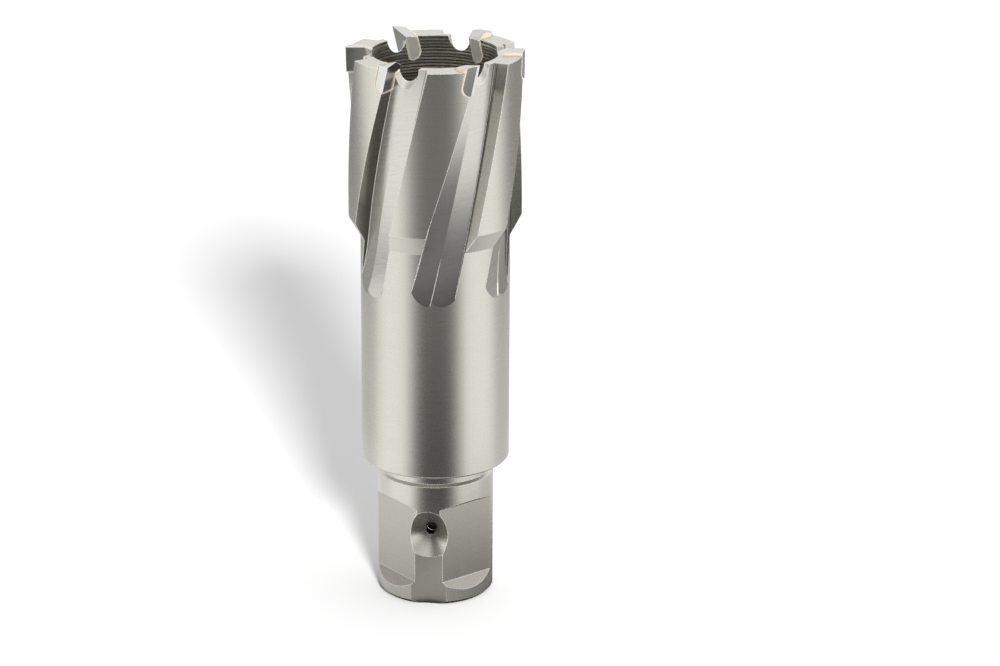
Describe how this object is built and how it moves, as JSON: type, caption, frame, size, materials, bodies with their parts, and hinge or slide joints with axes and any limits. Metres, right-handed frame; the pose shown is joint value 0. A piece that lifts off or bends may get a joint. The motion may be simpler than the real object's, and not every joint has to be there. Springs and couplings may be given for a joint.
{
  "type": "annular cutter",
  "caption": "Hollow hole cutter with brazed carbide tips, helical flutes and a flatted shank; it mills a ring and leaves a solid core.",
  "frame": {"origin": "centre of the shank's end face, on which the cutter stands", "axes": "+Z along the cutter's axis, from the shank's end to the teeth; -Y through the detent dimple of the shank"},
  "size_m": [0.0286, 0.028, 0.0928],
  "materials": {
    "steel": "ground satin steel",
    "carbide": "fine ground tungsten carbide, blue-grey",
    "braze": "dull silver braze, pale tan"
  },
  "bodies": {
    "root": {"cutter_body": "steel", "carbide_tip_1": "carbide", "carbide_tip_2": "carbide", "carbide_tip_3": "carbide", "carbide_tip_4": "carbide", "carbide_tip_5": "carbide", "carbide_tip_6": "carbide", "braze_seam_1": "braze", "braze_seam_2": "braze", "braze_seam_3": "braze", "braze_seam_4": "braze", "braze_seam_5": "braze", "braze_seam_6": "braze"}
  },
  "joints": []
}
